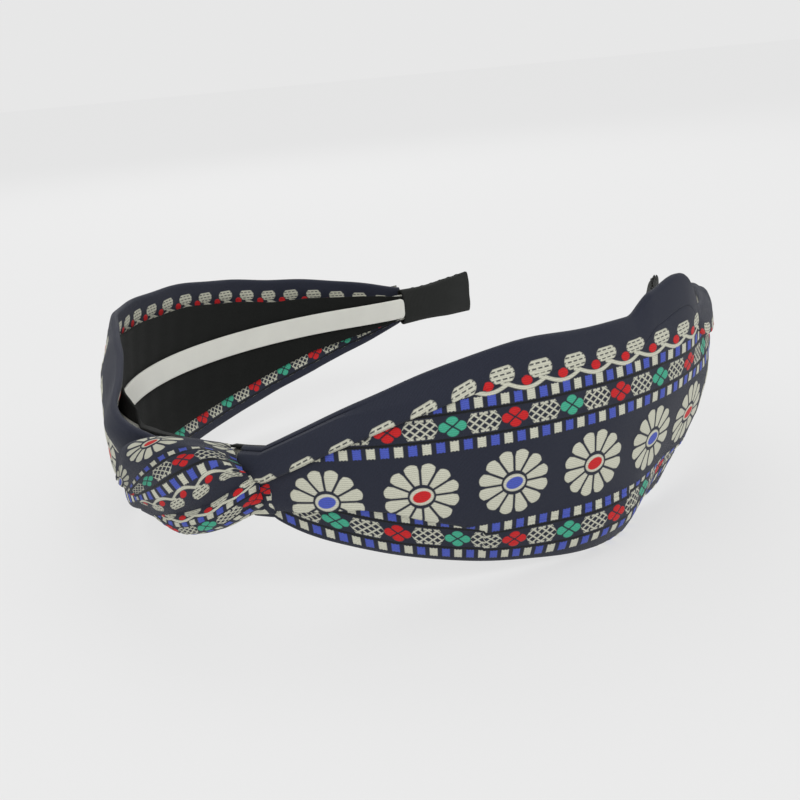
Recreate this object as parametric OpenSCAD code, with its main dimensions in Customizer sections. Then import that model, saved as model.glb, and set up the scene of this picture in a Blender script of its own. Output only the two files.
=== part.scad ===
// Knotted fabric headband: a thin springy hoop, a wide wing of woven ribbon on each side of
// it, and the two ribbons tied round each other over the crown.
// +X runs from the crown to the feet, +Y to the left arm, +Z is the axis of the hoop.
// The origin is under the middle of the band, on the surface that the wings stand on.

/* [Hoop] */
// Radius of the hoop over the crown
crown_r = 63.3; // [60:0.1:68]
// Radius of the hoop along the side of the head
side_r = 79; // [74:0.5:90]
// Angle that the side arc turns inwards
side_turn = 37.7; // [34:0.1:40]
// Radius of the outward flare before each foot
flare_r = 93; // [88:0.5:110]
// Angle that the flare turns back outwards
flare_turn = 24.8; // [24:0.1:28]
// Width of the springy strip, along the axis of the hoop
hoop_h = 7; // [6:0.1:7.4]
// Thickness of the springy strip
hoop_t = 1.5; // [1.2:0.05:1.5]
// Distance from the crown's centre to where an arm flexes
flex_s = 10; // [9:0.5:10.5]

/* [Wings] */
// Height of the upper edge over the hoop's plane, at its highest
top_max = 19.8; // [17:0.1:22]
// Distance along the hoop to where it stops rising
top_level = 62; // [56:1:80]
// Distance along the hoop to where it starts falling
top_peak = 97; // [82:1:100]
// Depth of the lower edge under the hoop's plane, at its lowest
bottom_max = 24.4; // [19:0.1:25]
// Distance along the hoop to that lowest place
bottom_peak = 82; // [68:1:90]
// Height of the upper edge where the wing leaves the knot
neck_top = 3.2; // [3:0.1:5]
// Depth of the lower edge where the wing leaves the knot
neck_bottom = 9; // [7:0.1:10]
// Height of the upper edge where the wing meets the foot
foot_top = 5.6; // [5:0.1:6.5]
// Depth of the lower edge where the wing meets the foot
foot_bottom = 4.6; // [4.4:0.1:6]
// Distance from the hoop's middle to the outer face of the fabric
face_n = 3; // [3:0.1:3.6]
// How strongly the wing is barrelled, as a share of its height
barrel = 0.4; // [0.2:0.01:0.5]
// Thickness of the woven fabric
fabric_t = 0.8; // [0.6:0.05:0.8]
// Width of the turned-in hems
hem_w = 7; // [5:0.5:9]

/* [Knot] */
// Width of the band that wraps over the knot
wrap_w = 14; // [11:0.5:14]
// Thickness of that band where it shows
wrap_t = 3; // [2:0.1:3]
// Thickness of its flat stretch under the hoop
back_t = 1.2; // [0.8:0.1:1.4]
// How far the wrap leans along the hoop, from its middle to its top
wrap_lean = 7; // [4:0.5:7]

/* [Trim] */
// Width of the grip strip
strip_w = 5.6; // [4:0.1:6.4]
// Thickness of the grip strip
strip_t = 0.8; // [0.5:0.1:0.9]
// Thickness of the lining
lining_t = 0.5; // [0.3:0.05:0.55]
// Width of the foot wrap where it begins
foot_w = 9.6; // [9.6:0.1:12]
// Width of the foot wrap at its end
foot_end_w = 11.6; // [11:0.1:14]
// Thickness of the foot wrap over the hoop
foot_t = 3.8; // [3.4:0.1:4]
// Number of stitches along each foot wrap
foot_stitches = 6; // [4:1:8]

/* [Hidden] */

navy = "#2d3241";
black = "#161816";
cream = "#cdcdb9";
milky = "#e4e2d8";

// The hoop's line is three tangent arcs. Each has a signed radius, a turn in degrees, and the
// heading, length and place at its start. The heading is measured from +Y.
crown_len = crown_r * PI / 2;
side_len = side_r * side_turn * PI / 180;
flare_len = flare_r * flare_turn * PI / 180;
arm_len = crown_len + side_len + flare_len;
function arc_end(at, r, h0, h1) =
    at + r * [cos(h0) - cos(h1), sin(h1) - sin(h0)];
side_at = arc_end([0, 0], crown_r, 0, 90);
side_end_h = 90 + side_turn;
flare_at = arc_end(side_at, side_r, 90, side_end_h);

function heading(s) =
    s < crown_len ? s / crown_r * 180 / PI
    : s < crown_len + side_len ? 90 + (s - crown_len) / side_r * 180 / PI
    : side_end_h - (s - crown_len - side_len) / flare_r * 180 / PI;
function line(s) =
    s < crown_len ? arc_end([0, 0], crown_r, 0, heading(s))
    : s < crown_len + side_len ? arc_end(side_at, side_r, 90, heading(s))
    : arc_end(flare_at, -flare_r, side_end_h, heading(s));
// The point at s along the hoop, n outwards from its middle, and z over its plane.
function at(s, n, z) = let (h = heading(s), p = line(s))
    [p[0] - n * cos(h), p[1] + n * sin(h), z];

// Where the pieces of an arm begin and end
wing_start = 16;
wing_end = 168;
strip_end = 167.5;
foot_start = 168.5;
foot_closed_s = arm_len + 0.2;
foot_tip_s = arm_len + 1.4;
socket_play = 0.05;

// The knot is laid round an ellipse that goes over and under the bundle.
knot_n = 2.5;
knot_z = -1.5;
knot_rn = 6;
knot_rz = 9.5;
knot_front = knot_n + knot_rn + wrap_t / 2;
strand_end = 13.5;
strand_tip = -2;

origin_x = (at(foot_tip_s, foot_t / 2, 0)[0] - knot_front) / 2;

// A closed solid through rings of points. A ring runs up one face and down the other, and its
// first and middle points are its two edges, so the end caps are ladders between the faces.
module skin(rings) {
    n = len(rings[0]);
    m = len(rings);
    sides = [for (i = [0:m - 2], j = [0:n - 1], half = [0, 1])
        let (k = (j + 1) % n, a = i * n, b = a + n)
        half == 0 ? [a + j, b + k, a + k] : [a + j, b + j, b + k]];
    rungs = [for (j = [0:n / 2 - 1])
        j == 0 ? [0, 1, n - 1] : j == n / 2 - 1 ? [j, j + 1, j + 2] : [j, j + 1, n - j - 1, n - j]];
    ladder = [for (r = rungs) each len(r) == 3 ? [r] : [[r[0], r[1], r[2]], [r[0], r[2], r[3]]]];
    last = (m - 1) * n;
    polyhedron([for (r = rings) each r], concat(sides, ladder,
        [for (f = ladder) [last + f[2], last + f[1], last + f[0]]]));
}

// A stretch of a strip that follows the hoop from s0 to s1, n0 to n1 outwards and z0 to z1 high.
bend_step = 2.5;
module bent_strip(s0, s1, n0, n1, z0, z1) {
    steps = ceil((s1 - s0) / bend_step);
    along = [for (i = [0:steps]) s0 + (s1 - s0) * i / steps];
    outline = concat([for (s = along) at(s, n1, 0)], [for (i = [steps:-1:0]) at(along[i], n0, 0)]);
    translate([0, 0, z0]) linear_extrude(z1 - z0) polygon([for (p = outline) [p[0], p[1]]]);
}

module left() { translate([-origin_x, 0, bottom_max]) children(); }
module right() { left() mirror([0, 1, 0]) children(); }
module crown() { left() children(); }

// ---- hoop -------------------------------------------------------------------------------

module pivot(r) {
    translate(at(flex_s, 0, -hoop_h / 2 - (r > hoop_t / 2 ? 1 : 0)))
        cylinder(r = r, h = hoop_h + (r > hoop_t / 2 ? 2 : 0), $fn = 64);
}

// The middle of the hoop, under the knot, with a hollow at each end that an arm turns in.
module hoop_crown() {
    color(milky) crown() difference() {
        bent_strip(-flex_s, flex_s, -hoop_t / 2, hoop_t / 2, -hoop_h / 2, hoop_h / 2);
        pivot(hoop_t / 2 + socket_play);
        mirror([0, 1, 0]) pivot(hoop_t / 2 + socket_play);
    }
}

// An arm of the hoop, with a round nose where it flexes.
module hoop_arm() {
    bent_strip(flex_s, arm_len, -hoop_t / 2, hoop_t / 2, -hoop_h / 2, hoop_h / 2);
    pivot(hoop_t / 2 - socket_play);
}

module hoop_left() { color(milky) left() hoop_arm(); }
module hoop_right() { color(milky) right() hoop_arm(); }

// ---- wings ------------------------------------------------------------------------------

// A height that rises from the knot as a sine, stays level, and falls to the foot as a cosine.
function leaf(s, level, peak, at_neck, at_peak, at_foot, rise, fall) =
    s < peak ? at_neck + (at_peak - at_neck)
        * pow(sin(90 * min(1, (s - 12) / (level - 12))), rise)
    : at_foot + (at_peak - at_foot)
        * pow(cos(90 * min(1, (s - peak) / (wing_end - peak))), fall);
function top_z(s) = leaf(s, top_level, top_peak, neck_top, top_max, foot_top, 1, 1);
function bottom_z(s) =
    -leaf(s, bottom_peak, bottom_peak, neck_bottom, bottom_max, foot_bottom, 0.75, 1.15);

// The barrelled outer face of the fabric, and the thickness behind it, doubled at the hems.
crest = 0.65;
function face(s, z) = let (
        h = top_z(s) - bottom_z(s),
        up = (z - bottom_z(s)) / h - crest,
        flat = min(1, (wing_end - s) / 30))
    face_n - barrel * flat * h * up * up;
function cloth(s, z) =
    min(z - bottom_z(s), top_z(s) - z) < min(hem_w, 0.2 * (top_z(s) - bottom_z(s)))
        ? 2.2 * fabric_t : fabric_t;

rows = 11;
stations = 44;
function wing_s(i) = wing_start + (wing_end - wing_start) * i / stations;
function wing_ring(s) = let (
        lo = bottom_z(s), h = top_z(s) - lo,
        zs = [for (j = [0:rows]) lo + h * (0.5 - 0.5 * cos(180 * j / rows))])
    concat([for (z = zs) at(s, face(s, z), z)],
        [for (j = [rows - 1:-1:1]) at(s, face(s, zs[j]) - cloth(s, zs[j]), zs[j])]);
module wing() { skin([for (i = [0:stations]) wing_ring(wing_s(i))]); }
module wing_left() { color(navy) left() wing(); }
module wing_right() { color(navy) right() wing(); }

// The lining lies flat behind the hoop, and follows the lower hem.
lining_rows = 6;
function lining_n(s, z) = min(-hoop_t / 2 - 0.15, face(s, z) - 2.2 * fabric_t - 0.15);
function lining_ring(s) = let (
        inset = min(hem_w - 2, 0.18 * (top_z(s) - bottom_z(s))),
        lo = bottom_z(s) + inset, hi = top_z(s) - inset,
        zs = [for (j = [0:lining_rows]) lo + (hi - lo) * j / lining_rows])
    concat([for (z = zs) at(s, lining_n(s, z), z)],
        [for (j = [lining_rows - 1:-1:1]) at(s, lining_n(s, zs[j]) - lining_t, zs[j])]);
module lining() { skin([for (i = [0:stations]) lining_ring(wing_s(i))]); }
module lining_left() { color(black) left() lining(); }
module lining_right() { color(black) right() lining(); }

// ---- trim -------------------------------------------------------------------------------

strip_n = -hoop_t / 2 - 0.15 - lining_t - 0.1;
module strip() {
    bent_strip(wing_start, strip_end, strip_n - strip_t, strip_n, -strip_w / 2, strip_w / 2);
}
module grip_strip_left() { color(milky) left() strip(); }
module grip_strip_right() { color(milky) right() strip(); }

// The foot wrap is a ribbon folded up round the hoop's end, open along its upper edge.
foot_steps = 8;
seam = 0.15;
function foot_half(s) =
    foot_w / 2 + (foot_end_w - foot_w) / 2 * pow((s - foot_start) / (foot_tip_s - foot_start), 2);
function foot_outline(o, z) = [[o - 0.6, z - 0.1], [o, z - 0.8], [o, 0.8 - z], [o - 0.6, 0.1 - z],
    [0.6 - o, 0.1 - z], [-o, 0.8 - z], [-o, z - 0.8], [0.6 - o, z - 0.1]];
function foot_pocket(i, k) = [[-seam, k + 0.4], [-i, k], [-i, -k], [-0.6 * i, -k], [0.6 * i, -k],
    [i, -k], [i, k], [seam, k + 0.4]];
// The two leaves meet just past the hoop's end, so the pocket is only a slit there.
function foot_ring(s) = let (slit = s > foot_closed_s)
    [for (p = concat([[seam, foot_half(s)]],
            foot_outline(slit ? foot_t / 2 - 0.4 : foot_t / 2, foot_half(s)),
            [[-seam, foot_half(s)]],
            foot_pocket(slit ? 2 * seam : hoop_t / 2 + 0.1, hoop_h / 2 + 0.15)))
        at(s, p[0], p[1])];
module foot_wrap() {
    skin(concat([for (i = [0:foot_steps])
        foot_ring(foot_start + (foot_closed_s - foot_start) * i / foot_steps)],
        [foot_ring(foot_tip_s)]));
}
module foot_wrap_left() { color(black) left() foot_wrap(); }
module foot_wrap_right() { color(black) right() foot_wrap(); }

// Whip stitches that close the open edge of the foot wrap.
stitch_r = 0.25;
module foot_stitching() {
    for (i = [1:foot_stitches]) {
        s = foot_start + (foot_closed_s - foot_start) * i / (foot_stitches + 1);
        translate(at(s, 0, foot_half(s) + stitch_r)) rotate(-heading(s)) rotate([0, 90, 0])
            cylinder(r = stitch_r, h = 2, center = true, $fn = 16);
    }
}
module foot_stitches_left() { color("#242624") left() foot_stitching(); }
module foot_stitches_right() { color("#242624") right() foot_stitching(); }

// ---- knot -------------------------------------------------------------------------------

// A flat band along the knot's ellipse, from angle a0 to a1, w wide and t thick, with round edges.
band_sides = 12;
function band_ring(a, w, t) = let (
        rn = cos(a), rz = sin(a), lean = wrap_lean / knot_rz)
    [for (j = [0:band_sides - 1]) let (
            c = cos(360 * j / band_sides), d = sin(360 * j / band_sides),
            across = w / 2 * sign(c) * pow(abs(c), 0.6), out = t / 2 * sign(d) * pow(abs(d), 0.6),
            s = -wrap_lean * rz + across * cos(atan(lean)),
            n = knot_n + (knot_rn + out) * rn,
            z = knot_z + (knot_rz + out) * rz + across * sin(atan(lean)) * abs(rn))
        at(s, n, z)];
module band(a0, a1, w, t, steps) {
    skin([for (i = [steps:-1:0]) band_ring(a0 + (a1 - a0) * i / steps, w, t)]);
}

// The wide stretch that shows, from behind the top, over the front, to behind the bottom
module knot_front_wrap() { color(cream) crown() band(-98, 98, wrap_w, wrap_t, 20); }

// The flat stretch that passes under the hoop and closes the loop
module knot_back_loop() { color(navy) crown() band(102, 258, wrap_w - 4, back_t, 14); }

// A strand is an oval rope along the hoop from s0 to s1, which moves from the neck's height to z1.
strand_steps = 10;
neck_z = (neck_top - neck_bottom) / 2;
function strand_ring(s, z, half) = [for (j = [0:band_sides - 1])
    at(s, 3.2 + 1.5 * cos(360 * j / band_sides), z + half * sin(360 * j / band_sides))];
module strand(s0, s1, z1) {
    skin([for (i = [0:strand_steps]) let (u = i / strand_steps, ease = u * u * (3 - 2 * u))
        strand_ring(s0 + (s1 - s0) * u, neck_z + (z1 - neck_z) * ease, 4.6 - 1.8 * ease)]);
}
module knot_left_strand() { color(navy) crown() strand(strand_end, strand_tip, 2.6); }
module knot_right_strand() { color(navy) crown() mirror([0, 1, 0]) strand(strand_end, strand_tip, -6.2); }

// Tack stitches across the loop, on the side of the head
module knot_stitches() {
    color("#242624") crown() for (i = [-1:1])
        translate(at(2.5 * i, knot_n - knot_rn - back_t / 2 - stitch_r - 0.02, 2 * i + knot_z))
            rotate([25, 0, 0]) cylinder(r = stitch_r, h = 3, center = true, $fn = 16);
}

hoop_crown();
hoop_left();
hoop_right();
wing_left();
wing_right();
lining_left();
lining_right();
grip_strip_left();
grip_strip_right();
foot_wrap_left();
foot_wrap_right();
foot_stitches_left();
foot_stitches_right();
knot_front_wrap();
knot_back_loop();
knot_left_strand();
knot_right_strand();
knot_stitches();
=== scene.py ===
"""A knotted headband of woven ribbon: the looks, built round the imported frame.

Lengths are in millimetres until a mesh is made. A place on the band is given as s along the
hoop from the middle of the crown, n outwards from the hoop and z over the hoop's mid-height.
A place on the ribbon is given as u along it and v across it, from the row of daisies.
"""
import math

import bpy
import numpy as np
from mathutils import Matrix, Vector


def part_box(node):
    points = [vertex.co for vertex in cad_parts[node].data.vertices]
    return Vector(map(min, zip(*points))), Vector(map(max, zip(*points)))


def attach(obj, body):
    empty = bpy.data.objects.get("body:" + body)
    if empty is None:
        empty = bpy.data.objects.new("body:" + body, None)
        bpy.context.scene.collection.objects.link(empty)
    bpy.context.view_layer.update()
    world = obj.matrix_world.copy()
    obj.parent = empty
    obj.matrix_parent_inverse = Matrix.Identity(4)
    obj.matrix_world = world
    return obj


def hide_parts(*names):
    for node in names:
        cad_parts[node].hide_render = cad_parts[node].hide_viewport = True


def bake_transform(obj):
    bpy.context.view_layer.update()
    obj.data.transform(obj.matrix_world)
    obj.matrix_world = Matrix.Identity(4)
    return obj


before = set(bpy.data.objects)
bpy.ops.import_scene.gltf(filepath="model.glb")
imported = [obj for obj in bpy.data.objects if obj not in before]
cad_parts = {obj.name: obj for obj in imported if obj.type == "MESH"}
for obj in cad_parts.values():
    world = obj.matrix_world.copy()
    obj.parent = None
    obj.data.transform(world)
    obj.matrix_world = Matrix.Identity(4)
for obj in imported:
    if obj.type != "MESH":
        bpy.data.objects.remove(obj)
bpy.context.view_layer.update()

MM = 0.001
QUARTER = math.pi / 2

# ---- the hoop's line, as the frame has it ---------------------------------------------------

HOOP_T = 1.5
crown_low, crown_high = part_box("hoop_crown")
CROWN_X = crown_low.x / MM + HOOP_T / 2
HOOP_Z = (crown_low.z + crown_high.z) / 2 / MM

CROWN_R, SIDE_R, FLARE_R = 63.3, 79.0, 93.0
SIDE_TURN, FLARE_TURN = math.radians(37.7), math.radians(24.8)
CROWN_LEN = CROWN_R * QUARTER
SIDE_LEN = SIDE_R * SIDE_TURN
ARM_LEN = CROWN_LEN + SIDE_LEN + FLARE_R * FLARE_TURN
SIDES = {"left": 1, "right": -1}


def arc(at, r, h0, h1):
    """The end of an arc of signed radius r that turns from heading h0 to h1."""
    return (at[0] + r * (np.cos(h0) - np.cos(h1)), at[1] + r * (np.sin(h1) - np.sin(h0)))


def place(s, n, z, side=1):
    """Points of the frame, in millimetres, at s along the hoop, n outwards and z up."""
    s, n, z = np.broadcast_arrays(*(np.asarray(q, float) for q in (s, n, z)))
    flare_h = QUARTER + SIDE_TURN
    side_at = arc((0, 0), CROWN_R, 0, QUARTER)
    flare_at = arc(side_at, SIDE_R, QUARTER, flare_h)
    h_crown = np.minimum(s, CROWN_LEN) / CROWN_R
    h_side = QUARTER + np.clip(s - CROWN_LEN, 0, SIDE_LEN) / SIDE_R
    h_flare = flare_h - np.maximum(s - CROWN_LEN - SIDE_LEN, 0) / FLARE_R
    in_crown, in_side = s < CROWN_LEN, s < CROWN_LEN + SIDE_LEN
    crown = arc((0, 0), CROWN_R, 0, h_crown)
    along = arc(side_at, SIDE_R, QUARTER, h_side)
    flare = arc(flare_at, -FLARE_R, flare_h, h_flare)
    h = np.where(in_crown, h_crown, np.where(in_side, h_side, h_flare))
    x, y = (np.where(in_crown, crown[i], np.where(in_side, along[i], flare[i])) for i in (0, 1))
    return np.stack([x - n * np.cos(h) + CROWN_X, side * (y + n * np.sin(h)), z + HOOP_Z], -1)


# ---- camera ---------------------------------------------------------------------------------

CAMERA_AZIMUTH, CAMERA_ELEVATION, CAMERA_ROLL = 213.456, 16.230, -5.304
CAMERA_DISTANCE = 249.457
CAMERA_AIM = (CROWN_X + 59.42, -1.96, HOOP_Z - 5.37)
CAMERA_LENS = 50.155


def make_camera():
    """The camera at the photograph's angle. Its lens is for a sensor 36 mm wide."""
    azimuth, elevation, roll = (
        math.radians(a) for a in (CAMERA_AZIMUTH, CAMERA_ELEVATION, CAMERA_ROLL))
    back = Vector((math.cos(azimuth) * math.cos(elevation),
                   math.sin(azimuth) * math.cos(elevation), math.sin(elevation)))
    level = Vector((-math.sin(azimuth), math.cos(azimuth), 0))
    over = back.cross(level)
    right = math.cos(roll) * level + math.sin(roll) * over
    up = math.cos(roll) * over - math.sin(roll) * level
    data = bpy.data.cameras.new("camera")
    data.sensor_width = 36
    data.lens = CAMERA_LENS
    data.clip_start = 0.01
    camera = bpy.data.objects.new("camera", data)
    bpy.context.collection.objects.link(camera)
    matrix = Matrix((right, up, back)).transposed().to_4x4()
    matrix.translation = (Vector(CAMERA_AIM) + CAMERA_DISTANCE * back) * MM
    camera.matrix_world = matrix
    bpy.context.scene.camera = camera


make_camera()

# ---- numbers that work on arrays and in node trees alike ------------------------------------


class Num:
    """A number in a node tree. Its sums and products add Math nodes."""

    def __init__(self, tree, socket):
        self.tree, self.socket = tree, socket

    def math(self, operation, *others):
        node = self.tree.nodes.new("ShaderNodeMath")
        node.operation = operation
        for slot, value in zip(node.inputs, (self, *others)):
            if isinstance(value, Num):
                self.tree.links.new(value.socket, slot)
            else:
                slot.default_value = value
        return Num(self.tree, node.outputs[0])

    def __add__(self, other):
        return self.math("ADD", other)

    def __mul__(self, other):
        return self.math("MULTIPLY", other)

    def __sub__(self, other):
        return self.math("SUBTRACT", other)

    def __rsub__(self, other):
        return self.math("MULTIPLY", -1.0).math("ADD", other)

    __radd__, __rmul__ = __add__, __mul__


def absolute(a):
    return a.math("ABSOLUTE") if isinstance(a, Num) else np.abs(a)


def least(a, b):
    return a.math("MINIMUM", b) if isinstance(a, Num) else np.minimum(a, b)


def most(a, b):
    return a.math("MAXIMUM", b) if isinstance(a, Num) else np.maximum(a, b)


def floor(a):
    return a.math("FLOOR") if isinstance(a, Num) else np.floor(a)


def sine(a):
    return a.math("SINE") if isinstance(a, Num) else np.sin(a)


def cosine(a):
    return a.math("COSINE") if isinstance(a, Num) else np.cos(a)


def length(a, b):
    square = a * a + b * b
    return square.math("SQRT") if isinstance(square, Num) else np.sqrt(square)


def bearing(y, x):
    return y.math("ARCTAN2", x) if isinstance(y, Num) else np.arctan2(y, x)


def clamp(a):
    return least(most(a, 0.0), 1.0)


def repeat(a, pitch):
    """The offset from the nearest whole number of pitches, and that number."""
    k = floor(a * (1 / pitch) + 0.5)
    return a - k * pitch, k


def odd(k):
    """1 where the whole number k is odd, else 0."""
    half = k * 0.5
    return (half - floor(half)) * 2.0


# ---- the woven pattern ----------------------------------------------------------------------

# Everything is mirrored about these two places. The lattice and the squares are also mirrored
# about the daisies, at 0.
TOP_MIRROR, BOTTOM_MIRROR = 23.8, -18.2
DAISY_PITCH, DAISY_AT = 15.84, 38.6
PETALS = 12
PETAL_TIP, PETAL_ROOT, PETAL_HALF = 6.35, 2.35, 1.1
SQUARE_PITCH, SQUARE_AT = 2.263, 28.7
SQUARE_LONG, SQUARE_HIGH = 0.71, 0.98
FLORET_PITCH, FLORET_AT = DAISY_PITCH * 2 / 3, 33.9
LATTICE_V, LATTICE_HALF = 12.2, 1.72
DIAMOND, DASH = 1.65, 0.95
SQUARES_OFF, LINE_OFF, LINE_HALF = 3.5, 2.2, 0.2
LEAF_PITCH, LEAF_AT = SQUARE_PITCH * 3, 61.1
VINE_V, LEAF_V = 18.0, 19.6
VEIN, VEIN_DASH = 0.76, 1.15


def oval(x, y, rx, ry):
    """Roughly the distance outside an ellipse."""
    return (length(x * (1 / rx), y * (1 / ry)) - 1.0) * min(rx, ry)


def squares(u, off):
    """The distance outside the small scalloped squares, and 1 for every other one."""
    x, k = repeat(u - SQUARE_AT, SQUARE_PITCH)
    scallop = absolute(sine(x * 5.6)) * 0.12
    high = absolute(off - SQUARES_OFF) + scallop - SQUARE_HIGH
    return most(absolute(x) - SQUARE_LONG, high), odd(k)


def lattice_row(u, c, off):
    """The distances outside the florets and the lattice, and 1 for every other floret."""
    x, k = repeat(u - FLORET_AT, FLORET_PITCH)
    petals = least(oval(absolute(x) - 1.3, c, 1.0, 0.86), oval(x, off - 0.98, 0.98, 0.76))
    gap = 0.13 - absolute(absolute(x) * 0.62 - off * 0.78 - 0.02)
    y = FLORET_PITCH / 2 - absolute(x)
    one, two = repeat(y + c * 1.2, DIAMOND)[0], repeat(y - c * 1.2, DIAMOND)[0]
    cross = least(absolute(one), absolute(two)) * 0.64 - 0.145
    dash = most(absolute(repeat(y + 0.5, DASH)[0]) - 0.27, absolute(off - 1.5) - 0.19)
    outline = most(off - LATTICE_HALF, y + off * 0.55 - 3.0)
    return most(petals, gap), most(least(cross, dash), outline), odd(k)


def daisies(u, v):
    """The distances outside the petals, the ring and the heart, and 1 for every other daisy."""
    x, k = repeat(u - DAISY_AT, DAISY_PITCH)
    r = length(x, v)
    slice_ = math.tau / PETALS
    turn = repeat(bearing(v, x) + slice_ / 2, slice_)[0]
    aside = absolute(r * sine(turn))
    out = r * cosine(turn)
    half = least(out * 0.262 - 0.2, PETAL_HALF)
    tip = out + aside * aside * 0.42 - PETAL_TIP
    petal = most(aside - half, most(tip, PETAL_ROOT - out))
    return petal, oval(x, v, 2.0, 1.66), oval(x - v * 0.2, v, 1.5, 1.12), odd(k)


def vine_row(u, v):
    """The distances outside the swaying vine with its veined leaves, and outside the buds."""
    x = repeat(u - LEAF_AT, LEAF_PITCH)[0]
    sway = absolute(sine(x * (math.pi / LEAF_PITCH)))
    vine = absolute(v - VINE_V + sway * 1.1) * 0.85 - 0.3
    lx, lv = x + 0.75, v - LEAF_V
    tx, tv = lx * 0.99 + lv * 0.1, lv - lx * 0.07
    leaf = most(oval(tx, tv, 2.15, 1.6), absolute(tv) - 1.25)
    stripe, row = repeat(tv, VEIN)
    vein = most(absolute(stripe) - 0.1, absolute(repeat(tx + row * 0.3, VEIN_DASH)[0]) - 0.36)
    leaf = most(leaf, 0.0 - vein)
    stem = most(absolute(lv + 1.45 + lx * 0.35) - 0.28, absolute(lx - 0.5) - 1.0)
    bud = oval(repeat(x + LEAF_PITCH / 2, LEAF_PITCH)[0], v - VINE_V - 0.1, 0.95, 0.82)
    return least(least(vine, stem), leaf), bud


def pattern(u, v, blur):
    """How much of each yarn shows at u along the ribbon and v up from the daisies, 0 to 1."""
    def inside(distance):
        return clamp(0.5 - distance * (1 / blur))

    v = TOP_MIRROR - absolute(v - TOP_MIRROR)
    v = BOTTOM_MIRROR + absolute(v - BOTTOM_MIRROR)
    c = absolute(v) - LATTICE_V
    off = absolute(c)
    square, is_cream = squares(u, off)
    floret, lattice, is_green = lattice_row(u, c, off)
    petal, ring, heart, is_blue = daisies(u, v)
    vine, bud = vine_row(u, v)
    square, floret, heart = inside(square), inside(floret), inside(heart)
    rows = most(square * is_cream, most(inside(lattice), inside(ring)))
    return {
        "black": inside(absolute(off - LINE_OFF) - LINE_HALF),
        "cream": most(most(inside(vine), inside(petal)), rows),
        "red": most(most(inside(bud), floret * (1.0 - is_green)), heart * (1.0 - is_blue)),
        "green": floret * is_green,
        "blue": most(square * (1.0 - is_cream), heart * is_blue),
    }


# ---- materials ------------------------------------------------------------------------------

def linear(rgb):
    """A colour given as 0 to 255, as the shaders want it."""
    parts = [c / 255 for c in rgb]
    return tuple(c / 12.92 if c <= 0.04045 else ((c + 0.055) / 1.055) ** 2.4 for c in parts) + (1,)


def material(name, roughness, sheen=0.0, specular=0.5):
    """A new material, its node tree and its shader."""
    mat = bpy.data.materials.new(name)
    mat.use_nodes = True
    shader = mat.node_tree.nodes["Principled BSDF"]
    shader.inputs["Roughness"].default_value = roughness
    shader.inputs["Specular IOR Level"].default_value = specular
    shader.inputs["Sheen Weight"].default_value = sheen
    shader.inputs["Sheen Roughness"].default_value = 0.4
    return mat, mat.node_tree, shader


def cloth_place(tree):
    """The cloth's coordinates in millimetres, as the meshes carry them: the vector, u and v."""
    node = tree.nodes.new("ShaderNodeAttribute")
    node.attribute_name = "cloth"
    split = tree.nodes.new("ShaderNodeSeparateXYZ")
    tree.links.new(node.outputs["Vector"], split.inputs[0])
    return node.outputs["Vector"], Num(tree, split.outputs[0]), Num(tree, split.outputs[1])


def blend_colours(tree, kind, amount, a, b):
    """A Mix node of colours a and b, each a colour or a socket. The amount may be a Num."""
    node = tree.nodes.new("ShaderNodeMix")
    node.data_type = "RGBA"
    node.blend_type = kind
    if isinstance(amount, Num):
        tree.links.new(amount.socket, node.inputs[0])
    else:
        node.inputs[0].default_value = amount
    for slot, value in ((node.inputs[6], a), (node.inputs[7], b)):
        if isinstance(value, tuple):
            slot.default_value = value
        else:
            tree.links.new(value, slot)
    return node.outputs[2]


def noise(tree, vector, scale, detail):
    """Noise of 0 to 1 at a vector, with this many features to its unit."""
    node = tree.nodes.new("ShaderNodeTexNoise")
    node.inputs["Scale"].default_value = scale
    node.inputs["Detail"].default_value = detail
    tree.links.new(vector, node.inputs["Vector"])
    return Num(tree, node.outputs["Fac"])


def bump(tree, shader, height, depth):
    """Bump from a height of 0 to 1 that stands for depth metres."""
    node = tree.nodes.new("ShaderNodeBump")
    node.inputs["Distance"].default_value = depth
    tree.links.new(height.socket, node.inputs["Height"])
    tree.links.new(node.outputs[0], shader.inputs["Normal"])


def shade(tree, colour, low, high, amount):
    """A colour multiplied by a grey between low and high."""
    grey = blend_colours(tree, "MIX", amount, (low, low, low, 1), (high, high, high, 1))
    return blend_colours(tree, "MULTIPLY", 1, colour, grey)


YARN = {"black": linear((17, 19, 20)), "cream": linear((206, 206, 188)),
        "red": linear((203, 30, 34)), "green": linear((66, 172, 140)),
        "blue": linear((74, 90, 186))}
NAVY = linear((38, 42, 57))


def make_ribbon():
    """Jacquard ribbon: navy satin ground, with the pattern in floats of thicker yarn."""
    mat, tree, shader = material("woven_ribbon", 0.62, sheen=0.06, specular=0.25)
    where, u, v = cloth_place(tree)
    yarns = pattern(u, v, 0.16)
    colour = NAVY
    for name, yarn in YARN.items():
        colour = blend_colours(tree, "MIX", yarns[name], colour, yarn)
    floats = most(most(yarns["cream"], yarns["red"]), most(yarns["green"], yarns["blue"]))
    picks = absolute(sine(v * 8.5 + sine(u * 2.1) * 0.35))
    ends = absolute(sine(u * 15.0 + v * 3.0))
    grain = noise(tree, where, 3.2, 5.0)
    weave = picks * floats + ends * (1.0 - floats)
    colour = shade(tree, colour, 0.78, 1.12, weave * 0.45 + grain * 0.55)
    tree.links.new(colour, shader.inputs["Base Color"])
    bump(tree, shader, floats * 0.6 + weave * 0.3 + grain * 0.25, 0.00022)
    return mat


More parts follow.
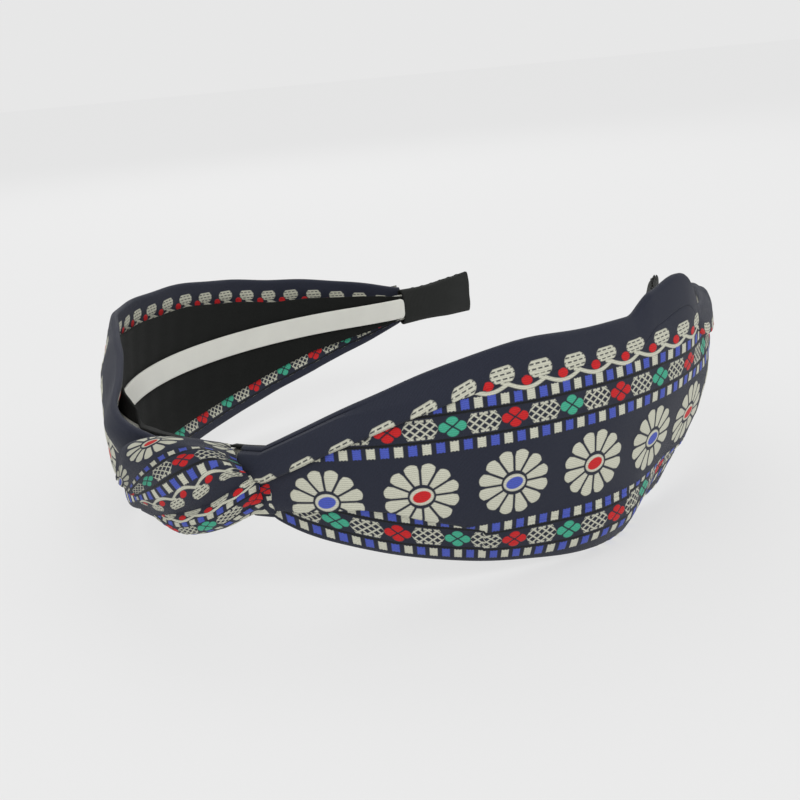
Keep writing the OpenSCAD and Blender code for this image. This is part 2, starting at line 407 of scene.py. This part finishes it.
def make_plain(name, rgb, roughness, thread, sheen, low=0.7, high=1.2, ribs=0.0, depth=0.0002):
    """Plain cloth with grain as fine as its thread and, where ribs gives their pitch, ribs."""
    mat, tree, shader = material(name, roughness, sheen=sheen, specular=0.3)
    where, u, _ = cloth_place(tree)
    weave = noise(tree, where, 1 / thread, 6.0)
    if ribs:
        weave = absolute(sine(u * (math.pi / ribs))) * 0.7 + weave * 0.3
    patches = noise(tree, where, 0.12, 2.0)
    colour = shade(tree, linear(rgb), low, high, weave * 0.6 + patches * 0.4)
    tree.links.new(colour, shader.inputs["Base Color"])
    bump(tree, shader, weave, depth)
    return mat


def make_plastic(name, rgb, roughness):
    """Soft milky plastic, faintly mottled, with the light going a little way in."""
    mat, tree, shader = material(name, roughness)
    shader.inputs["Subsurface Weight"].default_value = 0.25
    shader.inputs["Subsurface Radius"].default_value = (0.002, 0.002, 0.0018)
    coords = tree.nodes.new("ShaderNodeTexCoord").outputs["Object"]
    mottle = noise(tree, coords, 160.0, 4.0)
    fine = noise(tree, coords, 2600.0, 3.0)
    colour = shade(tree, linear(rgb), 0.9, 1.05, mottle)
    tree.links.new(colour, shader.inputs["Base Color"])
    bump(tree, shader, mottle * 0.7 + fine * 0.3, 0.00006)
    return mat


RIBBON = make_ribbon()
LINING = make_plain("brushed_lining", (18, 20, 18), 0.95, 0.35, sheen=0.04, low=0.5, high=1.25)
GROSGRAIN = make_plain("ribbed_wrap", (30, 32, 30), 0.8, 0.3, sheen=0.03, low=0.82, high=1.1,
                      ribs=0.45, depth=0.00008)
THREAD = make_plain("sewing_thread", (30, 32, 30), 0.7, 0.2, sheen=0.1, ribs=0.3)
GRIP = make_plastic("milky_strip", (222, 222, 214), 0.34)
HOOP = make_plastic("hoop_plastic", (206, 206, 196), 0.42)

# ---- meshes ---------------------------------------------------------------------------------

FLOAT_RISE, FLOAT_BLUR = 0.13, 0.9


def smooth(t):
    """An even step from 0 to 1 as t goes from 0 to 1."""
    t = np.clip(t, 0, 1)
    return t * t * (3 - 2 * t)


def bell(s, centre, width):
    """A bump of height 1 round the centre."""
    return np.exp(-((s - centre) / width) ** 2)


def grid_mesh(name, points, cloth, mat, closed=False, thick=0.0):
    """A piece from a grid of points in millimetres, and its cloth coordinates.

    closed joins each row's ends and fills the first and last rows. thick gives a second face.
    """
    rows, cols = points.shape[:2]
    around = cols if closed else cols - 1
    at = np.arange(rows * cols).reshape(rows, cols)
    after = np.roll(at, -1, 1)
    corners = [at[:-1], after[:-1], after[1:], at[1:]]
    faces = np.stack([q[:, :around] for q in corners], -1).reshape(-1, 4).tolist()
    if closed:
        faces += [at[0, ::-1].tolist(), at[-1].tolist()]
    mesh = bpy.data.meshes.new(name)
    mesh.from_pydata((points.reshape(-1, 3) * MM).tolist(), [], faces)
    mesh.polygons.foreach_set("use_smooth", [True] * len(mesh.polygons))
    where = mesh.attributes.new("cloth", "FLOAT_VECTOR", "POINT")
    flat = np.zeros((rows * cols, 3), np.float32)
    flat[:, :2] = cloth.reshape(-1, 2)
    where.data.foreach_set("vector", flat.ravel())
    mesh.materials.append(mat)
    mesh.update()
    piece = bpy.data.objects.new(name, mesh)
    bpy.context.collection.objects.link(piece)
    if thick:
        thicken(piece, thick)
    return piece


def thicken(piece, thick):
    """Gives a sheet its thickness, half to each side."""
    solid = piece.modifiers.new("thickness", "SOLIDIFY")
    solid.thickness = thick * MM
    solid.offset = 0
    bpy.context.view_layer.update()
    made = bpy.data.meshes.new_from_object(
        piece.evaluated_get(bpy.context.evaluated_depsgraph_get()))
    piece.modifiers.clear()
    piece.data = made


def join(pieces, name):
    """One piece from several."""
    bpy.ops.object.select_all(action="DESELECT")
    for piece in pieces:
        piece.select_set(True)
    bpy.context.view_layer.objects.active = pieces[0]
    bpy.ops.object.join()
    pieces[0].name = name
    return pieces[0]


def normals(points):
    """Unit normals of a grid of points."""
    across = np.gradient(points, axis=1)
    along = np.gradient(points, axis=0)
    n = np.cross(across, along)
    return n / np.maximum(np.linalg.norm(n, axis=-1, keepdims=True), 1e-9)


def embossed(points, cloth, sign=1):
    """The grid with its patterned yarns standing a little proud."""
    yarns = pattern(cloth[..., 0], cloth[..., 1], FLOAT_BLUR)
    rise = np.max([yarns[k] for k in ("cream", "red", "green", "blue")], axis=0)
    return points + sign * (FLOAT_RISE * rise)[..., None] * normals(points)


def ramp(a, b, count, with_b=False):
    """count values per station from a towards b, and b itself if with_b."""
    t = np.arange(count) / (count - 1 if with_b else count)
    return a[:, None] + (b - a)[:, None] * t


# ---- wings ----------------------------------------------------------------------------------

WING_START, WING_END, WING_STEP = 8.0, 169.0, 0.5
NECK_AT, FOOT_AT = 12, 168
CLOTH_T = 0.35
DAISY_Z = -5.08
FACE_N = 3.0
# The v of the upper and lower folds, of the upper hem's raw edge and of the flap's lower edge,
# the most v that the face shows, and where the lower hem's plain cloth ends and its row begins.
TOP_V, BOTTOM_V = 23.95, -17.8
RAW_V = 31.4
FLAP_V, PLAIN_V = 19.8, 23.7
LOW_PLAIN_V, LOW_ROW_V = -19.6, -21.8
# The heights of the flap and of the lower hem, and the share of the wing that a hem may take.
FLAP = 5.8
HEM_LOW, HEM_SHARE = 7.7, 0.3
# A fold at an edge: its height, half its depth and half its cloth. FLAT_V and FLAT_Z are how far
# from the edge the cloth goes on flat.
FOLD_Z, FOLD_N, FOLD_V = 0.55, 0.625, 0.6
FLAT_V, FLAT_Z = 0.65, 0.6
INNER_N = -2 * FOLD_N
FOLD_STEPS = 7
# The height of the pleat over the lower border, at places along the wing.
PLEAT_Z = ((12, -7), (28, -6.8), (34, -8), (40, -10.4), (50, -14), (110, -13), (140, -9),
           (168, -2.5))


def leaf_line(s, neck, rise, peak, high, foot, up, down):
    """A height that grows from the neck as a sine, stays, and falls from the peak to the foot."""
    grow = np.sin(QUARTER * np.clip((s - NECK_AT) / rise, 0, 1)) ** up
    fall = np.cos(QUARTER * np.clip((s - peak) / (FOOT_AT - peak), 0, 1)) ** down
    return np.where(s < peak, neck + (high - neck) * grow, foot + (high - foot) * fall)


def top_z(s, side):
    """The upper edge. The right wing has a crest and then a pinch towards its foot."""
    wave = 0.22 * np.sin(s / 7.3) + 0.12 * np.sin(s / 3.1 + 1)
    peak = 95 if side < 0 else 78
    edge = leaf_line(s, neck=4.5, rise=50, peak=peak, high=19.3, foot=5.6, up=1, down=1)
    edge = edge + wave * smooth((s - 20) / 30)
    if side < 0:
        crest = smooth((s - 81) / 6) * smooth((106 - s) / 10)
        pinch = smooth((s - 96) / 13) * smooth((142 - s) / 30)
        edge = edge + 3.1 * crest + 1.9 * bell(s, 94, 5.5) - 3.4 * pinch
    return edge


def bottom_z(s, side):
    """The lower edge. The right wing is deeper, and deepest nearer its foot."""
    if side < 0:
        return -leaf_line(s, neck=9.0, rise=70, peak=82, high=24.2, foot=4.6, up=0.75, down=1.15)
    return -leaf_line(s, neck=9.0, rise=58, peak=70, high=20.8, foot=4.6, up=0.8, down=0.9)


def face_n(s, z, side):
    """The barrelled outer face of the cloth, with each wing's own slight twist."""
    low = bottom_z(s, side)
    height = top_z(s, side) - low
    up = (z - low) / height - 0.65
    barrel = 0.4 * np.minimum(1, (FOOT_AT - s) / 30) * height * up * up
    if side < 0:
        twist = 2.6 * bell(s, 108, 24) * (z + 4) / 18
        hollow = 0.8 * bell(s, 113, 16) * bell(z, 10, 9)
        swell = 3.0 * bell(s, 76, 15) * bell(z, -20, 7)
        return FACE_N - barrel + twist - hollow + swell
    twist = 3.4 * bell(s, 42, 26) * (z + 4) / 18
    swell = 4.6 * bell(s, 20, 9) * smooth((z + 2) / 8)
    return FACE_N - barrel - twist + swell


def natural_v(s, z, middle, side):
    """The cloth's v at z, measured along the barrelled face from the daisies' height."""
    total = 0
    steps = 8
    for i in range(steps):
        za, zb = middle + (z - middle) * i / steps, middle + (z - middle) * (i + 1) / steps
        total = total + np.hypot(zb - za, face_n(s, zb, side) - face_n(s, za, side))
    return total * np.sign(z - middle)


def wing_top_v(s, side):
    """Where the upper fold runs on the ribbon."""
    drift = np.clip(0.062 * (s - 60), 0, 1.5) if side < 0 else 0
    return TOP_V + drift + 1.65 * (1 - smooth((s - 24) / 30))


def wing_low_v(s, side):
    """Where the lower fold runs on the ribbon."""
    drift = 3.4 * smooth((s - 56) / 30) * smooth((135 - s) / 30) if side < 0 else 0
    return np.full_like(s, BOTTOM_V) - drift


def wing_profiles(s, side):
    """The cloth's route across at each station: n, z and v, from one raw edge to the other."""
    top, bottom = top_z(s, side), bottom_z(s, side)
    height = top - bottom
    middle = DAISY_Z + (0.5 * (top + bottom) - DAISY_Z) * smooth((s - 95) / 65)
    top_v, low_v = wing_top_v(s, side), wing_low_v(s, side)
    none = np.zeros_like(s)
    inner = np.full_like(s, INNER_N)
    parts = []

    def run(from_z, to_z, n0, n1, from_v, to_v, count, most_v=None):
        """A stretch of cloth that stands n0 to n1 off the face."""
        z = ramp(from_z, to_z, count)
        v = ramp(from_v, to_v, count)
        if most_v is not None:
            v = np.minimum(v, most_v)
        parts.append((face_n(s[:, None], z, side) + ramp(n0, n1, count), z, v))

    def turn(edge, edge_v, up, angles):
        """The fold round an edge, between the hem behind the face and the face."""
        for i, angle in enumerate(angles):
            z = edge + up * FOLD_Z * (math.sin(angle) - 1)
            n = face_n(s, z, side) + FOLD_N * (math.cos(angle) - 1)
            v = edge_v + FOLD_V * (1 - 2 * i / (FOLD_STEPS - 1))
            parts.append((n[:, None], z[:, None], v[:, None]))

    # The flap's lower edge z1 and the pleat's upper edge z2. Near the knot the left wing's flap
    # is wider, and its border keeps to one place on the ribbon.
    wider = 6.0 * (1 - smooth((s - 26) / 28)) if side > 0 else 0
    z1 = top - (FLAP + wider) * np.minimum(1, height / 14)
    z2 = np.maximum(np.interp(s, *zip(*PLEAT_Z)), bottom + 1.0)
    v1, v2 = natural_v(s, z1, middle, side), natural_v(s, z2, middle, side)
    less = 0.9 * (1 - smooth((s - 20) / 25)) if side > 0 else 0
    strip_v = low_v + (z2 - bottom) * (1.06 - less)
    flap_v = FLAP_V - 1.9 * smooth((s - 34) / 24) + 3.7 * smooth((s - 118) / 22)
    # How far each hidden fold reaches under its edge, and how far the edge stands off.
    deep1 = np.clip((flap_v - v1) / 2 - 0.35, 0.0, 4.5)
    deep2 = np.clip((v2 - strip_v) / 2 - 0.5, 0.0, 4.0)
    lift1, lift2 = (np.minimum(1.0, 0.8 * q) + 0.02 for q in (deep1, deep2))
    flap_v = np.where(deep1 > 0.0, flap_v, np.minimum(v1, PLAIN_V))
    strip_v = np.where(deep2 > 0.0, strip_v, v2)

    hem = np.minimum(RAW_V - top_v, HEM_SHARE * height)
    run(top - hem, top - FOLD_Z, inner, inner, top_v + hem, top_v + FOLD_V, 14)
    turn(top, top_v, 1, np.linspace(math.pi, 0, FOLD_STEPS))

    over = np.minimum(top - 0.9, z1 + deep1 + 0.5)
    start_z, start_v = top - FLAT_Z, top_v - FLAT_V
    over_v = start_v + (flap_v - start_v) * (start_z - over) / (start_z - z1)
    run(start_z, over, none, lift1, start_v, over_v, 6)
    run(over, z1, lift1, lift1, over_v, flap_v, 12)
    run(z1, z1 + deep1, 0.9 * lift1, 0.5 * lift1, flap_v, flap_v - 0.4, 4)
    run(z1 + deep1, z1, 0.35 * lift1, 0.15 * lift1, flap_v - 0.4, v1, 4)
    run(z1, z2, none, none, v1, v2, 62, most_v=PLAIN_V)
    run(z2, z2 + deep2, -0.15 * lift2, -0.5 * lift2, v2, v2 + 0.3, 4)
    run(z2 + deep2, z2, -0.6 * lift2, -lift2, v2 + 0.3, strip_v, 4)
    run(z2, bottom + FOLD_Z, -lift2, none, strip_v, low_v + FOLD_V, 18)

    turn(bottom, low_v, -1, np.linspace(0, math.pi, FOLD_STEPS))
    hem = np.minimum(HEM_LOW, HEM_SHARE * height)
    hem_mid = bottom + np.minimum(1.7, 0.3 * hem)
    plain_v, row_v = np.full_like(s, LOW_PLAIN_V), np.full_like(s, LOW_ROW_V)
    run(bottom + FLAT_Z, hem_mid, inner, inner, low_v - FLAT_V, plain_v, 4)
    run(hem_mid - 0.02, hem_mid, inner, inner, plain_v, plain_v, 1)
    run(hem_mid, bottom + hem, inner, inner, row_v, row_v - (bottom + hem - hem_mid), 14)
    return (np.concatenate([p[k] for p in parts], 1) for k in range(3))


def wing(name, side):
    """A wing's cloth, a little puffed by the knot and rumpled all along."""
    s = np.arange(WING_START, WING_END, WING_STEP)
    n, z, v = wing_profiles(s, side)
    s = np.broadcast_to(s[:, None], z.shape)
    puff = 0.25 * np.sin(z * 0.9 + s * 0.07) * np.exp(-(s - NECK_AT) / 14)
    rumple = 0.12 * np.sin(s * 0.35 + 0.3 * z) * np.sin(z * 0.4 + 1)
    cloth = np.stack([s, v], -1)
    points = embossed(place(s, n + puff + rumple, z, side), cloth, -side)
    return grid_mesh(name, points, cloth, RIBBON, thick=CLOTH_T)


BLEND_START, BLEND_END = 7.5, 14.0


def on_arm(piece, side_name):
    """Bakes the piece's transform into its mesh. The arm's places just past the knot are worked
    out, but nothing uses them.
    """
    side = SIDES[side_name]
    start, end = (Vector(place(q, 0, 0, side) * MM) for q in (BLEND_START, BLEND_END))
    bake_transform(piece)


def make_wings():
    for side_name, side in SIDES.items():
        piece = wing(f"{side_name}_wing_cloth", side)
        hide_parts(f"wing_{side_name}")
        on_arm(piece, side_name)


# ---- linings --------------------------------------------------------------------------------

LINING_START, LINING_STEP, LINING_T = 5.0, 0.8, 0.45
LINING_V = 29.7  # the upper hem's v at the lining's upper edge


def lining(name, side):
    """The dark inner face between the hems. By the knot it curls over the hoop's upper edge."""
    s = np.arange(LINING_START, WING_END, LINING_STEP)
    height = top_z(s, side) - bottom_z(s, side)
    high = top_z(s, side) - np.clip(LINING_V - wing_top_v(s, side), 0.3, 0.2 * height)
    high = np.maximum(high, 4.4 - 4 * smooth((s - 150) / 10))
    low = bottom_z(s, side) + np.minimum(5.0, 0.2 * height)
    z = ramp(low, high, 40, with_b=True)
    s = np.broadcast_to(s[:, None], z.shape)
    n = np.minimum(-HOOP_T / 2 - 0.15, face_n(s, z, side) - 1.9)
    over_hoop = 2.4 * smooth((z - 3.7) / 0.6) * (1 - smooth((s - 18) / 8))
    n = n + over_hoop + 0.08 * np.sin(s * 0.9 + z) * np.sin(z * 1.3) - 0.25
    return grid_mesh(name, place(s, n, z, side), np.stack([s, z], -1), LINING, thick=LINING_T)


def make_linings():
    for side_name, side in SIDES.items():
        piece = lining(f"{side_name}_lining_cloth", side)
        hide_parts(f"lining_{side_name}")
        on_arm(piece, side_name)


# ---- grip strips ----------------------------------------------------------------------------

STRIP_W, STRIP_T, STRIP_N = 5.6, 0.8, -1.5
STRIP_START, STRIP_END = 13.0, 167.5
STRIP_CORNER, STRIP_STEP = 1.2, 1.2


def strip(name, side):
    """A flat strip with a crowned face and rounded ends."""
    s = np.unique(np.concatenate([
        np.linspace(STRIP_START, STRIP_START + STRIP_CORNER, 8),
        np.arange(STRIP_START + 1.5, STRIP_END - 1.5, STRIP_STEP),
        np.linspace(STRIP_END - STRIP_CORNER, STRIP_END, 10)]))
    end = np.minimum(s - STRIP_START, STRIP_END - s)
    cut = np.maximum(STRIP_CORNER - end, 0)
    half = STRIP_W / 2 - STRIP_CORNER + np.sqrt(np.maximum(0, STRIP_CORNER**2 - cut**2))
    angle = np.linspace(0, 2 * math.pi, 28, endpoint=False)
    c, d = np.cos(angle), np.sin(angle)
    across = np.sign(c) * np.abs(c) ** 0.35
    out = np.sign(d) * np.abs(d) ** 0.5
    z = half[:, None] * across
    slim = np.minimum(1, 0.35 + end / 0.8)[:, None]
    n = STRIP_N - STRIP_T / 2 + STRIP_T / 2 * out * slim * (1 - 0.12 * across**2)
    s = np.broadcast_to(s[:, None], z.shape)
    return grid_mesh(name, place(s, n, z, side), np.stack([s, z], -1), GRIP, closed=True)


def make_strips():
    for side_name, side in SIDES.items():
        piece = strip(f"{side_name}_grip", side)
        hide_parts(f"grip_strip_{side_name}")
        on_arm(piece, side_name)


# ---- foot wraps and stitches ----------------------------------------------------------------

FOOT_START, FOOT_END = 167.6, ARM_LEN + 1.3
FOOT_LEN = FOOT_END - FOOT_START
FOOT_T = 0.5
FOOT_STITCHES = 6
STITCH_R = 0.2


def foot_half(t):
    """Half the foot's width at t, which is 0 at its start and 1 at its tip."""
    return 4.8 - 0.25 * np.sin(math.pi * np.minimum(1, t * 1.6)) + 0.95 * t**1.8


def foot_wrap(name, side):
    """A ribbed ribbon folded up round the hoop's end, wider towards its square-cut tip."""
    s = np.linspace(FOOT_START, FOOT_END, 60)
    t = (s - FOOT_START) / FOOT_LEN
    gap = 1.45 - 0.75 * smooth((t - 0.55) / 0.45)
    angle = np.linspace(math.radians(92), math.radians(448), 72)
    c, d = np.cos(angle), np.sin(angle)
    z = foot_half(t)[:, None] * np.sign(d) * np.abs(d) ** 0.55
    s = np.broadcast_to(s[:, None], z.shape)
    n = gap[:, None] * np.sign(c) * np.abs(c) ** 0.55 + 0.08 * np.sin(z * 1.1 + s * 0.5)
    run = np.cumsum(np.hypot(np.diff(z, axis=1, prepend=z[:, :1]),
                             np.diff(n, axis=1, prepend=n[:, :1])), 1)
    return grid_mesh(name, place(s, n, z, side), np.stack([s, run], -1), GROSGRAIN,
                     thick=FOOT_T)


def stitch_row(name, stitches):
    """Small stitches, each a thread from a to b that bows out by a vector."""
    made = []
    t = np.linspace(0, 1, 13)[:, None]
    angle = np.linspace(0, 2 * math.pi, 10, endpoint=False)[:, None]
    cloth = np.broadcast_to((t * 3)[:, :, None] * [1, 0.3], (13, 10, 2))
    for k, stitch in enumerate(stitches):
        a, b, out = (np.array(q, float) for q in stitch)
        line = a + (b - a) * t + out * np.sin(math.pi * t)
        along = np.gradient(line, axis=0)
        along /= np.linalg.norm(along, axis=1, keepdims=True)
        side = np.cross(along, out / np.linalg.norm(out))
        side /= np.linalg.norm(side, axis=1, keepdims=True)
        up = np.cross(side, along)
        ring = np.cos(angle) * side[:, None] + np.sin(angle) * up[:, None]
        points = line[:, None] + STITCH_R * ring
        made.append(grid_mesh(f"{name}_{k}", points, cloth, THREAD, closed=True))
    return join(made, name)


def foot_stitches(side):
    """The places of the stitches that close a foot's upper edge."""
    for i in range(1, FOOT_STITCHES + 1):
        s = FOOT_START + 1 + (FOOT_LEN - 1.5) * i / (FOOT_STITCHES + 1)
        z = foot_half((s - FOOT_START) / FOOT_LEN) - 0.1
        yield place(s - 0.5, 0.8, z, side), place(s + 0.5, -0.8, z, side), (0, 0, 0.35)


def make_feet():
    for side_name, side in SIDES.items():
        piece = foot_wrap(f"{side_name}_foot_ribbon", side)
        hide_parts(f"foot_wrap_{side_name}")
        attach(piece, f"{side_name}_arm")
        threads = stitch_row(f"{side_name}_foot_threads", foot_stitches(side))
        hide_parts(f"foot_stitches_{side_name}")
        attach(threads, f"{side_name}_arm")


# ---- knot -----------------------------------------------------------------------------------

KNOT_T = 0.6

# Nets of (s, n, z). Each row follows the ribbon from the near side to the far side, and the
# list after a net gives each row's v.
WRAP_NET = [
    [(-10.5, 4.5, -0.5), (-8.0, 6.0, -2.0), (-1.5, 6.5, -7.0), (7.5, 5.5, -10.0),
     (17.0, 4.5, -10.5)],
    [(-10.5, 6.0, 1.5), (-8.0, 8.5, 2.5), (-2.5, 9.5, -1.0), (5.0, 9.0, -5.0), (13.5, 7.0, -7.0)],
    [(-9.0, 5.0, 2.5), (-5.0, 7.5, 5.0), (-0.5, 9.5, 4.0), (5.0, 10.0, 0.5), (14.0, 8.0, -5.5)],
    [(-6.5, 2.5, 4.0), (-1.5, 5.0, 6.0), (4.0, 8.0, 6.5), (9.5, 10.0, 3.0), (17.0, 8.0, -4.5)],
    [(-4.5, 1.0, 4.5), (1.5, 2.5, 5.0), (8.0, 6.5, 6.0), (13.5, 9.0, 3.5), (19.5, 7.5, -4.0)],
]
WRAP_V = [25.5, 18.0, 12.0, 1.0, -6.5]

UNDER_NET = [
    [(-10.8, 2.4, 1.5), (-9.2, 4.5, 0.5), (-4.0, 6.0, -3.0), (4.0, 6.2, -6.0), (12.0, 3.5, -6.0)],
    [(-11.0, 3.2, -0.5), (-9.4, 6.0, -1.6), (-4.2, 7.6, -5.2), (4.0, 7.4, -8.2),
     (12.5, 5.0, -8.0)],
    [(-11.2, 3.2, -2.8), (-9.6, 6.2, -3.6), (-4.2, 7.8, -7.0), (4.0, 7.2, -10.0),
     (13.0, 5.0, -9.6)],
    [(-11.2, 2.8, -5.0), (-9.6, 5.2, -5.4), (-4.0, 6.6, -8.8), (4.0, 6.0, -11.6),
     (13.5, 4.4, -10.8)],
    [(-11.0, 2.0, -6.6), (-9.4, 3.2, -6.8), (-4.0, 4.2, -9.8), (4.0, 3.6, -12.2),
     (13.5, 2.4, -11.2)],
    [(-10.6, 0.6, -7.4), (-9.2, 0.8, -7.4), (-4.0, 1.0, -9.6), (4.0, 0.8, -11.6),
     (13.0, 0.2, -10.4)],
]
UNDER_V = [23.0, 18.5, 14.0, 10.0, 5.0, -1.0]

# The back loop's middle line, and its edges: how far across, and how far they lift.
LOOP_LINE = [(-10.0, 2.5, -0.6), (-8.4, -1.8, -0.6), (-2.4, -3.7, -1.6), (3.0, -3.7, -4.2),
             (8.0, -2.0, -6.6), (10.0, 2.0, -6.8)]
LOOP_ACROSS = ((-1, 0.5), (-0.5, 0.1), (0, 0), (0.5, 0.1), (1, 0.5))
LOOP_V = [7.0, 9.6, 12.2, 14.8, 17.4]
LOOP_W = 3.8

NECK_START, NECK_END = 13.0, 0.0
NECK_Z = -2.6


def spline(values, count):
    """A smooth curve through the values along axis 0, sampled at count places."""
    values = np.asarray(values, float)
    last = len(values) - 1
    t = np.linspace(0, last, count)
    i = np.minimum(t.astype(int), last - 1)
    f = (t - i).reshape((-1,) + (1,) * (values.ndim - 1))
    p1, p2 = values[i], values[i + 1]
    p0 = np.where((i > 0).reshape(f.shape), values[np.maximum(i - 1, 0)], 2 * p1 - p2)
    p3 = np.where((i < last - 1).reshape(f.shape), values[np.minimum(i + 2, last)], 2 * p2 - p1)
    return 0.5 * (2 * p1 + (p2 - p0) * f + (2 * p0 - 5 * p1 + 4 * p2 - p3) * f**2
                  + (3 * p1 - p0 - 3 * p2 + p3) * f**3)


def patch(net, rows, cols):
    """A smooth grid through a small net of control points."""
    return np.swapaxes(spline(np.swapaxes(spline(net, rows), 0, 1), cols), 0, 1)


def crease(points, depth):
    """Shallow gathers that run along a grid, fading to its middle."""
    rows, cols = points.shape[:2]
    a = np.linspace(0, 1, rows)[:, None]
    b = np.linspace(0, 1, cols)[None]
    fade = 0.35 + 0.65 * np.abs(2 * b - 1) ** 1.5
    wave = np.sin(8 * math.pi * a + 0.6) * np.cos(3 * math.pi * b + 0.6)
    return points + (depth * fade * wave)[..., None] * normals(points)


def knot_piece(name, net, v_edges, u_at, sign=1, rows=110, cols=120, depth=0.25, middle=True):
    """A length of ribbon in the knot, from its net and each row's v.

    u_at is the middle column's u, or the first column's if middle is not set, and sign is -1
    where u falls towards the far side.
    """
    grid = patch(np.array(net, float), rows, cols)
    points = crease(place(grid[..., 0], grid[..., 1], grid[..., 2]), depth)
    step = np.linalg.norm(np.diff(points, axis=1), axis=-1)
    u = np.concatenate([np.zeros((rows, 1)), np.cumsum(step, 1)], 1)
    if middle:
        u = u - u[:, [cols // 2]]
    v = np.broadcast_to(spline(v_edges, rows)[:, None], u.shape)
    cloth = np.stack([u_at + sign * u, v], -1)
    return grid_mesh(name, embossed(points, cloth), cloth, RIBBON, thick=KNOT_T)


def neck(name, side, end_z):
    """The gathered cloth that runs from a wing into the knot, folded into soft ridges."""
    s = np.linspace(NECK_START, NECK_END, 60)[:, None]
    t = np.linspace(0, 1, 60)[:, None]
    angle = np.linspace(0, 2 * math.pi, 96, endpoint=False)[None]
    ridges = 1 + 0.07 * np.cos(5 * angle + 2 * t)
    n = 1.6 + 1.6 * t + 1.3 * np.cos(angle) * ridges
    z = NECK_Z + (end_z - NECK_Z) * t + (4.9 - 1.6 * t) * np.sin(angle) * ridges
    s, v = (np.broadcast_to(q, z.shape) for q in (s, 9.0 * np.sin(angle) + 12.0))
    return grid_mesh(name, place(s, n, z, side), np.stack([s, v], -1), RIBBON, closed=True)


def back_loop(name):
    """The flat end of the wrap, which passes round behind the hoop."""
    net = [[(s + 0.6 * LOOP_W * w, n + lift, z + 0.8 * LOOP_W * w) for s, n, z in LOOP_LINE]
           for w, lift in LOOP_ACROSS]
    return knot_piece(name, net, LOOP_V, u_at=20.0, rows=50, cols=80, depth=0.15)


def tack_stitches():
    """The places of the three stitches that tack the loop behind the hoop."""
    for i in (-1, 0, 1):
        s, z = 2.4 * i, 2 * i - 1.5
        yield place(s - 0.3, -4.7, z - 1.2), place(s + 0.3, -4.7, z + 1.2), (0.45, 0, 0)


def make_knot():
    wrap = knot_piece("knot_wrap_cloth", WRAP_NET, WRAP_V, u_at=23.6, middle=False)
    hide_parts("knot_front_wrap")
    under = knot_piece("knot_under_cloth", UNDER_NET, UNDER_V, u_at=3.6, sign=-1)
    necks = [neck("left_neck_cloth", 1, 1.5), neck("right_neck_cloth", -1, -4.5)]
    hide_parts("knot_left_strand")
    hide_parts("knot_right_strand")
    loop = back_loop("knot_loop_cloth")
    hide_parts("knot_back_loop")
    threads = stitch_row("knot_threads", tack_stitches())
    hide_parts("knot_stitches")
    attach(threads, "crown")
    for piece in (wrap, under, *necks, loop):
        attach(piece, "crown")


# ---- hoop, floor and light ------------------------------------------------------------------

PAPER = 0.8
FLOOR_GREY, FLOOR_GLOW, FLOOR_HALF = 0.26, 0.715, 60.0
LIGHT_SIZE, LIGHT_AIM = 0.7, Vector((0, 0, 0.02))


def dress_hoop():
    """The hoop stays as the CAD has it, and gets its plastic."""
    for node in ("hoop_crown", "hoop_left", "hoop_right"):
        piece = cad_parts[node]
        piece.data.materials.clear()
        piece.data.materials.append(HOOP)


def make_floor():
    """A pale floor like a light table: it glows nearly as bright as the backdrop."""
    mat, _, shader = material("floor", 0.95, specular=0.0)
    shader.inputs["Base Color"].default_value = (FLOOR_GREY, FLOOR_GREY, FLOOR_GREY, 1)
    shader.inputs["Emission Color"].default_value = (1, 1, 1, 1)
    shader.inputs["Emission Strength"].default_value = PAPER * FLOOR_GLOW
    mesh = bpy.data.meshes.new("floor")
    corners = [(x * FLOOR_HALF, y * FLOOR_HALF, 0) for x, y in ((-1, -1), (1, -1), (1, 1), (-1, 1))]
    mesh.from_pydata(corners, [], [(0, 1, 2, 3)])
    mesh.materials.append(mat)
    piece = bpy.data.objects.new("floor", mesh)
    piece.location.z = -0.0004
    bpy.context.collection.objects.link(piece)


def area_light(name, at, power):
    """A round soft light at a place in metres, aimed at the band."""
    data = bpy.data.lights.new(name, "AREA")
    data.shape = "DISK"
    data.size = LIGHT_SIZE
    data.energy = power
    lamp = bpy.data.objects.new(name, data)
    lamp.location = at
    lamp.rotation_euler = (LIGHT_AIM - Vector(at)).to_track_quat("-Z", "Y").to_euler()
    bpy.context.collection.objects.link(lamp)


def make_light():
    """A white surround, a key light and a back light."""
    world = bpy.data.worlds.new("studio")
    world.use_nodes = True
    world.node_tree.nodes["Background"].inputs[0].default_value = (1, 1, 1, 1)
    world.node_tree.nodes["Background"].inputs[1].default_value = PAPER
    bpy.context.scene.world = world
    bpy.context.scene.view_settings.view_transform = "Standard"
    area_light("key", (-0.5, -0.7, 0.9), 3)
    area_light("back", (0.7, 0.6, 0.8), 2)


make_wings()
make_linings()
make_strips()
make_feet()
make_knot()
dress_hoop()
make_floor()
make_light()
